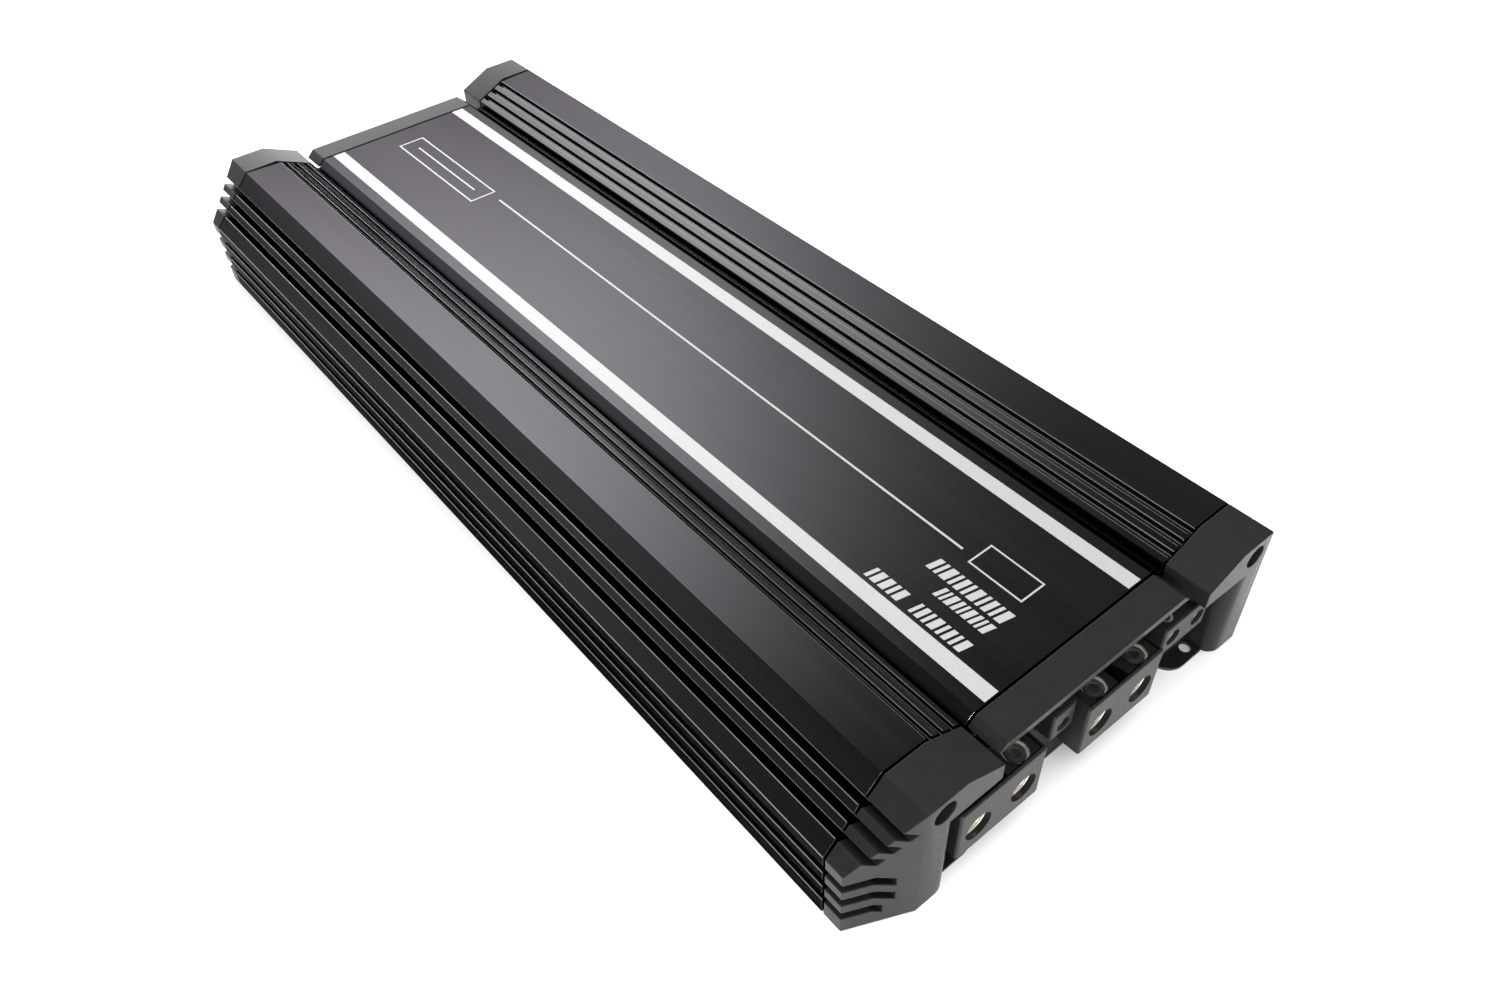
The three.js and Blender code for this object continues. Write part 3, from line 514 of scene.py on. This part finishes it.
def on_a_ridge(face):
    """Rounded edges that run along the body beside its inner, shoulder and side grooves; these take the
    painted highlight.
    """
    across = abs(face.calc_center_median().x)
    beside_groove = INNER_GROOVES[0] < across < INNER_GROOVES[1] or across > OUTER_GROOVES_START
    return abs(face.normal.y) < 0.2 and beside_groove


# Painted highlight: the rounded ridge edges of the heatsink get a lighter colour in place of the light
# they catch.
painted_highlight_anodising = painted_highlight_surface("painted_highlight_anodising", (0.21, 0.205, 0.20), 0.3)
refined("heatsink", 0.3 * MM, painted_highlight=painted_highlight_anodising, painted_highlight_here=on_a_ridge)
refined("bottom_cover", 0.25 * MM)
refined("front_panel", 0.25 * MM)
refined("rear_panel", 0.25 * MM)
for end in ("front", "rear"):
    refined(f"{end}_visor", 0.5 * MM, 3)
    for side in ("left", "right"):
        refined(f"{end}_{side}_pod", 0.45 * MM, 3)


# ---------- terminals ----------

def span(node, axis):
    low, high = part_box(node)
    return low[axis], high[axis]


def centre(node, axis):
    return sum(span(node, axis)) / 2


# Sizes by the kind of terminal
BORE_RADIUS = {"power": 6.5 * MM, "remote": 3.4 * MM, "speaker": 3.95 * MM}
BORE_Z = {"power": 26.4 * MM, "remote": 38.0 * MM, "speaker": 33.9 * MM}
FRONT_WALL = {"power": 2.2 * MM, "remote": 1.6 * MM, "speaker": 1.6 * MM}
BARREL_WALL = {"power": 2.2 * MM, "remote": 1.6 * MM, "speaker": 1.5 * MM}
POCKET_WALL = {"power": 2.2 * MM, "remote": 1.55 * MM, "speaker": 1.55 * MM}
BARREL_LENGTH = {"power": 17.7 * MM, "remote": 13.6 * MM, "speaker": 13.6 * MM}
TAIL_HALF_WIDTH = {"power": 4.0 * MM, "remote": 1.5 * MM, "speaker": 2.0 * MM}
TAIL_THICKNESS = {"power": 4.0 * MM, "remote": 2.0 * MM, "speaker": 2.5 * MM}

TAIL_TOP_Z = 38.8 * MM
WELL_MARGIN = 1.2 * MM  # round a set screw, in its housing
THREAD_MARGIN = 0.15 * MM  # round a set screw, in its barrel
FIT_GAP = 0.3 * MM
CUT_CLEAR = 1 * MM  # how far a cutter reaches past what it cuts
BARREL_FLOOR = 2 * MM
BORE_RIDGE_PITCH = 1.15 * MM
BORE_RIDGE_DEPTH = 0.45 * MM
HOUSINGS = {
    "power_supply": ("positive", "ground"),
    "remote": ("turn_on",),
    "power_bridge": ("positive", "ground"),
    "speaker": ("positive", "negative"),
}


def ridged(radius, length, pitch, depth):
    """The profile of a rod with fine ridges round it, closed on the axis."""
    points = [(0, 0), (radius - depth, 0)]
    steps = max(1, int(length / pitch))
    for i in range(steps):
        start = length * i / steps
        points += [(radius, start + 0.45 * length / steps), (radius, start + 0.6 * length / steps)]
        points += [(radius - depth, start + length / steps)]
    return points + [(0, length)]


def half_width(node):
    low, high = span(node, 0)
    return (high - low) / 2


def terminal_housing(name, ways):
    """A block with a cable hole, a barrel pocket open to the back and a screw well for each way."""
    node = f"{name}_terminal"
    kind = name.split("_")[0]
    x, y, z = (span(node, axis) for axis in range(3))
    shell = block(x, y, z)
    round_edges(shell, 1.3 * MM, 4, wanted=lambda e: min(v.co.y for v in e.verts) < y[1] - 1 * MM)
    tools = []
    for way in ways:
        barrel, screw = f"{name}_{way}_barrel", f"{name}_{way}_screw"
        screw_x, screw_y = centre(screw, 0), centre(screw, 1)
        half = BORE_RADIUS[kind] + POCKET_WALL[kind] + FIT_GAP
        cable_hole_start = screw_x, y[0] - CUT_CLEAR, BORE_Z[kind]
        tools.append(rod(BORE_RADIUS[kind], cable_hole_start, FRONT_WALL[kind] + 2 * CUT_CLEAR, "Y"))
        tools.append(block(
            (screw_x - half, screw_x + half), (y[0] + FRONT_WALL[kind], y[1] + CUT_CLEAR),
            (BORE_Z[kind] - half, span(barrel, 2)[1] + FIT_GAP),
        ))
        well_height = z[1] + CUT_CLEAR - BORE_Z[kind]
        tools.append(rod(half_width(screw) + WELL_MARGIN, (screw_x, screw_y, BORE_Z[kind]), well_height))
    bm = carved(shell, *tools)
    round_edges(bm, 0.18 * MM, 2, sharp=60.0, wanted=lambda e: e.calc_length() < 1.5 * MM)
    piece = to_object(f"{node}_shell", bm)
    shade(piece)
    settle(piece, "terminal_plastic", nodes=[node])


def terminal_barrel(name, way):
    """A plated block with a ridged cable bore, a screw hole from above and a tail to the board."""
    node, screw = f"{name}_{way}_barrel", f"{name}_{way}_screw"
    kind = name.split("_")[0]
    (front, tail_end), top = span(node, 1), span(node, 2)[1]
    screw_x, screw_y = centre(screw, 0), centre(screw, 1)
    half = BORE_RADIUS[kind] + BARREL_WALL[kind]
    back = min(front + BARREL_LENGTH[kind], tail_end)
    bm = block((screw_x - half, screw_x + half), (front, back), (BORE_Z[kind] - half, top))
    round_edges(bm, 0.4 * MM, 2)
    bore_length = back - front - BARREL_FLOOR + CUT_CLEAR
    profile = ridged(BORE_RADIUS[kind], bore_length, BORE_RIDGE_PITCH, BORE_RIDGE_DEPTH)
    bore = turned(profile, (screw_x, front - CUT_CLEAR, BORE_Z[kind]), "Y")
    hole = rod(half_width(screw) + THREAD_MARGIN, (screw_x, screw_y, BORE_Z[kind]), 30 * MM)
    bm = carved(bm, bore, hole)
    tail_x = screw_x - TAIL_HALF_WIDTH[kind], screw_x + TAIL_HALF_WIDTH[kind]
    tail = block(tail_x, (back - 0.5 * MM, tail_end), (TAIL_TOP_Z - TAIL_THICKNESS[kind], TAIL_TOP_Z))
    round_edges(tail, 0.2 * MM)
    piece = to_object(f"{node}_metal", joined(bm, tail))
    shade(piece, 40.0)
    settle(piece, "nickel_barrel", nodes=[node])


def set_screw(name, way):
    """A headless threaded screw with a hexagon socket; its sizes are shares of its radius and length."""
    node = f"{name}_{way}_screw"
    low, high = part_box(node)
    radius = half_width(node)
    root = radius * 0.9
    place = (centre(node, 0), centre(node, 1), low[2])
    length = high[2] - low[2]
    pitch = radius / 4.5
    height = radius * 0.2
    profile = [(0, 0), (radius * 0.62, 0), (root, height)]
    while height + pitch < length - radius * 0.2:
        profile += [(radius, height + pitch * 0.45), (radius, height + pitch * 0.6)]
        profile += [(root, height + pitch)]
        height += pitch
    profile += [(radius * 0.97, length - radius * 0.12), (radius * 0.85, length), (0, length)]
    socket = rod(radius * 0.6, (place[0], place[1], high[2] - length * 0.6), length, facets=6)
    bm = carved(turned(profile, place), socket)
    round_edges(bm, radius * 0.02, 1, sharp=70.0)
    piece = to_object(f"{node}_thread", bm)
    shade(piece, 40.0)
    settle(piece, "set_screw", body=node, nodes=[node])


for name, ways in HOUSINGS.items():
    terminal_housing(name, ways)
    for way in ways:
        terminal_barrel(name, way)
        set_screw(name, way)


# ---------- screws, knobs and jacks ----------

CONTROL_SEAT_Y = 272.95 * MM  # where knobs and jacks start to show
POD_SCREW_HEAD = 4 * MM
POD_SCREW_SHANK = 1.6 * MM
POD_SCREW_SOCKET = 1.75 * MM
COVER_SCREW_THREAD = 1.5 * MM
COVER_SCREW_CONE = 1.5 * MM
COVER_SCREW_PITCH = 0.6 * MM
COVER_SCREW_SOCKET = 0.85 * MM
KNOB_STEM = 3 * MM
KNOB_FLUTES = 18
KNOB_FLUTE_DEPTH = 0.28 * MM
KNOB_MARK_WIDTH = 1.0 * MM


def pod_screw(node):
    """A socket-head screw along Y, with its head at the end of the amplifier."""
    low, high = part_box(node)
    radius, length = half_width(node), high[1] - low[1]
    at_front = high[1] < 0
    under_head = length - POD_SCREW_HEAD
    profile = [
        (0, 0), (1.2 * MM, 0), (POD_SCREW_SHANK, 0.5 * MM), (POD_SCREW_SHANK, under_head),
        (radius, under_head), (radius, length - 0.5 * MM), (radius - 0.15 * MM, length - 0.15 * MM),
        (radius - 0.5 * MM, length), (0, length),
    ]
    socket = rod(POD_SCREW_SOCKET, (0, length - POD_SCREW_HEAD / 2, 0), POD_SCREW_HEAD, "Y", 6)
    bm = carved(turned(profile, (0, 0, 0), "Y", 72), socket)
    if at_front:
        turn_round = Matrix.Rotation(math.pi, 3, "Z")
        bmesh.ops.rotate(bm, cent=(0, 0, 0), matrix=turn_round, verts=bm.verts)
    tip = high[1] if at_front else low[1]
    bmesh.ops.translate(bm, vec=(centre(node, 0), tip, centre(node, 2)), verts=bm.verts)
    piece = to_object(f"{node}_cap", bm)
    shade(piece)
    settle(piece, "black_screw", nodes=[node])


def cover_screw(node):
    """A countersunk screw along Z, its head down, with a hexagon socket."""
    low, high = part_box(node)
    radius, length = half_width(node), high[2] - low[2]
    root = COVER_SCREW_THREAD * 0.82
    place = (centre(node, 0), centre(node, 1), low[2])
    profile = [(0, 0), (radius - 0.1 * MM, 0), (radius, 0.1 * MM), (COVER_SCREW_THREAD, COVER_SCREW_CONE)]
    height = COVER_SCREW_CONE + 0.4 * MM
    while height < length - 1.4 * MM:
        profile += [(root, height), (COVER_SCREW_THREAD, height + COVER_SCREW_PITCH / 2)]
        height += COVER_SCREW_PITCH
    profile += [(COVER_SCREW_THREAD * 0.8, length - 0.9 * MM), (0.4 * MM, length), (0, length)]
    socket = rod(COVER_SCREW_SOCKET, (place[0], place[1], low[2] - CUT_CLEAR), 2 * CUT_CLEAR, facets=6)
    piece = to_object(f"{node}_thread", carved(turned(profile, place, facets=48), socket))
    shade(piece)
    settle(piece, "black_screw", nodes=[node])


def knob(node):
    """A fluted knob on a stem along Y, with a pointer groove that is up at rest."""
    low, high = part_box(node)
    radius = (high[2] - low[2]) / 2
    place = (centre(node, 0), 0, centre(node, 2))
    seat, end = CONTROL_SEAT_Y, high[1]
    waist = radius - 0.3 * MM
    profile = [
        (0, seat), (radius, seat), (radius, seat + 1.0 * MM), (waist, seat + 1.3 * MM),
        (waist, end - 0.9 * MM), (radius - 0.9 * MM, end - 0.2 * MM), (radius - 1.3 * MM, end), (0, end),
    ]
    body = turned(profile, place, "Y", 144, KNOB_FLUTES, KNOB_FLUTE_DEPTH)
    mark_x = place[0] - KNOB_MARK_WIDTH / 2, place[0] + KNOB_MARK_WIDTH / 2
    body = carved(body, block(mark_x, (end - 1.4 * MM, end + CUT_CLEAR), (place[2], place[2] + 6 * MM)))
    stem_end = seat + 0.5 * MM
    stem = turned([(0, low[1]), (KNOB_STEM, low[1]), (KNOB_STEM, stem_end), (0, stem_end)], place, "Y", 48)
    piece = to_object(f"{node}_fluted", joined(body, stem))
    shade(piece, 40.0)
    settle(piece, "knob_plastic", body=node, nodes=[node])


jack_plate = metal_surface("jack_plate", (0.60, 0.57, 0.50), 0.22, depth=0.001)


def rca_jack(node):
    """A phono jack turned in one piece: thread, flange, shell and the hollow centre contact."""
    low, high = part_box(node)
    place = (centre(node, 0), 0, centre(node, 2))
    seat, end = CONTROL_SEAT_Y, high[1]
    profile = [
        (0, low[1]), (4.0 * MM, low[1]), (4.2 * MM, low[1] + 0.2 * MM), (4.2 * MM, seat),
        (6.2 * MM, seat), (6.4 * MM, seat + 0.2 * MM), (6.4 * MM, seat + 1.3 * MM),
        (6.1 * MM, seat + 1.6 * MM), (4.3 * MM, seat + 1.6 * MM), (4.2 * MM, seat + 1.8 * MM),
        (4.2 * MM, end - 0.3 * MM), (3.9 * MM, end), (3.5 * MM, end), (3.35 * MM, end - 0.2 * MM),
        (3.35 * MM, end - 6 * MM), (1.9 * MM, end - 6 * MM), (1.9 * MM, end - 1.5 * MM),
        (1.6 * MM, end - 1.3 * MM), (1.6 * MM, end - 7 * MM), (0, end - 7 * MM),
    ]
    piece = to_object(f"{node}_shell", turned(profile, place, "Y", 72))
    shade(piece)
    settle(piece, "nickel_barrel", nodes=[node])
    piece.data.materials[0] = jack_plate


for end in ("front", "rear"):
    for side in ("left", "right"):
        pod_screw(f"{end}_{side}_pod_screw")
for index in range(1, 5):
    cover_screw(f"cover_screw_{index}")
CONTROLS = ("gain", "low_pass", "subsonic", "bass_boost")
for name in CONTROLS:
    knob(f"{name}_knob")
for side in ("left", "right"):
    rca_jack(f"rca_{side}")


# ---------- small rear parts and the electronics inside ----------

for node in ("remote_level_port", "phase_switch_housing", "status_led", "circuit_board"):
    refined(node, 0.12 * MM)
refined("phase_switch_slider", 0.25 * MM, body="phase_switch_slider")
for name in CONTROLS:
    refined(f"{name}_pot", 0.3 * MM)
for side in ("left", "right"):
    refined(f"clamp_bar_{side}", 0.3 * MM)
for index in range(1, 4):
    refined(f"capacitor_{index}", 0.25 * MM)


WIRE = 0.5 * MM
CORE_CORNER = 4 * MM
STEPS_PER_CORNER = 6
STEPS_PER_TURN = 6


def core_section(hole, outer, height):
    """A (radius, height) loop round the wound ring, its corners rounded by arcs."""
    inner_x, outer_x = hole + CORE_CORNER, outer - CORE_CORNER
    low_z, high_z = CORE_CORNER, height - CORE_CORNER
    corners = [(outer_x, low_z, -90), (outer_x, high_z, 0), (inner_x, high_z, 90), (inner_x, low_z, 180)]
    section = []
    for x, z, start in corners:
        for step in range(STEPS_PER_CORNER):
            angle = math.radians(start + 90 * step / (STEPS_PER_CORNER - 1))
            section.append((x + CORE_CORNER * math.cos(angle), z + CORE_CORNER * math.sin(angle)))
    return section


def wound_core(node, turns):
    """A toroid whose surface rises and falls with each turn of its winding."""
    low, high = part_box(node)
    middle = Vector((centre(node, 0), centre(node, 1), low[2]))
    outer, height = half_width(node), high[2] - low[2]
    cad_vertices = frame["nodes"][node].data.vertices
    hole = min(math.hypot(v.co.x - middle.x, v.co.y - middle.y) for v in cad_vertices)
    section = core_section(hole, outer, height)
    mid_r, mid_z = (outer + hole) / 2, height / 2
    bm = bmesh.new()
    rings, steps = [], turns * STEPS_PER_TURN
    for i in range(steps):
        angle = 2 * math.pi * i / steps
        shrink = 1 - WIRE * (0.5 - 0.5 * math.cos(turns * angle)) / (outer - hole) * 2
        ring = []
        for r, z in section:
            r, z = mid_r + (r - mid_r) * shrink, mid_z + (z - mid_z) * shrink
            ring.append(bm.verts.new(middle + Vector((r * math.cos(angle), r * math.sin(angle), z))))
        rings.append(ring)
    for i, ring in enumerate(rings):
        following = rings[(i + 1) % steps]
        for j in range(len(section)):
            k = (j + 1) % len(section)
            bm.faces.new((ring[j], following[j], following[k], ring[k]))
    piece = to_object(f"{node}_turns", bm)
    shade(piece, 60.0)
    settle(piece, SLOT_OF[node], nodes=[node])


wound_core("transformer_left", 96)
wound_core("transformer_right", 96)
wound_core("output_inductor", 64)


# ---------- print on the centre plate ----------

PLATE_Z = 57.0 * MM
PRINT_Z = PLATE_Z + 0.04 * MM
PRINT_SINK = 0.02 * MM


def printed(name, outlines):
    """Thin slabs on the plate, each from a loop of (x, y) points in millimetres."""
    bm = bmesh.new()
    for outline in outlines:
        rings = []
        for z in (PLATE_Z - PRINT_SINK, PRINT_Z):
            rings.append([bm.verts.new((x * MM, y * MM, z)) for x, y in outline])
        bm.faces.new(rings[0])
        bm.faces.new(rings[1])
        for i in range(len(outline)):
            j = (i + 1) % len(outline)
            bm.faces.new((rings[0][i], rings[0][j], rings[1][j], rings[1][i]))
    return settle(to_object(name, bm), "silver_print")


def strip(x0, x1, y0, y1, slant=0.0):
    """A bar of print; slant moves the +X edge along Y."""
    return [(x0, y0), (x1, y0 + slant), (x1, y1 + slant), (x0, y1)]


def outlined_panel(x0, x1, y0, y1, line):
    """The outline of a plain rectangle, as four strips."""
    return [
        strip(x0, x0 + line, y0, y1),
        strip(x1 - line, x1, y0, y1),
        strip(x0 + line, x1 - line, y0, y0 + line),
        strip(x0 + line, x1 - line, y1 - line, y1),
    ]


def bar_row(x0, x1, y0, y1, slant, widths, gap):
    """A row of slanted bars of these widths in turn, from y0 to y1."""
    bars, y, i = [], y0, 0
    while y + widths[i % len(widths)] <= y1:
        width = widths[i % len(widths)]
        bars.append(strip(x0, x1, y, y + width, slant))
        y += width + gap
        i += 1
    return bars


# In millimetres on the plate
STRIPE_END = 262.3
STRIPE_X = 36.9, 44.2
PANEL_LINE = 0.95
NEAR_PANEL_LINE = 0.8
ROW_SLANT = -1.6
LOWER_ROW_SLANT = -1.4
ROW_GAP = 1.3

printed("stripe_left", [strip(-STRIPE_X[1], -STRIPE_X[0], -STRIPE_END, STRIPE_END)])
printed("stripe_right", [strip(*STRIPE_X, -STRIPE_END, STRIPE_END)])
printed("centre_line", [strip(3.75, 4.85, -206.0, 150.7)])

far_panel = outlined_panel(-8.8, 7.4, 160.0, 246.0, PANEL_LINE)
printed("far_panel", far_panel + [strip(-1.2, -0.2, 170.0, 236.0)])
printed("near_panel", outlined_panel(0.6, 14.6, -240.0, -212.0, NEAR_PANEL_LINE))

printed("near_row_1", bar_row(-13.4, -6.0, -241.5, -202.0, ROW_SLANT, (3.4, 1.6, 2.6, 1.6), ROW_GAP))
printed("near_row_2", bar_row(-21.8, -15.6, -240.6, -212.0, ROW_SLANT, (2.6, 1.3, 1.9), 1.1))
long_word = bar_row(-34.8, -28.2, -240.8, -212.5, LOWER_ROW_SLANT, (3.2, 1.6, 2.4, 1.6), ROW_GAP)
short_word = bar_row(-34.8, -28.2, -208.0, -187.0, LOWER_ROW_SLANT, (3.2, 1.8, 3.2), ROW_GAP)
printed("near_row_3", long_word + short_word)


# ---------- the scene ----------

make_camera()
make_world()
make_lights()
make_floor()
bpy.context.scene.view_settings.view_transform = "Standard"

for node, piece in frame["nodes"].items():
    piece.data.materials.clear()
    piece.data.materials.append(SURFACES[SLOT_OF[node]])
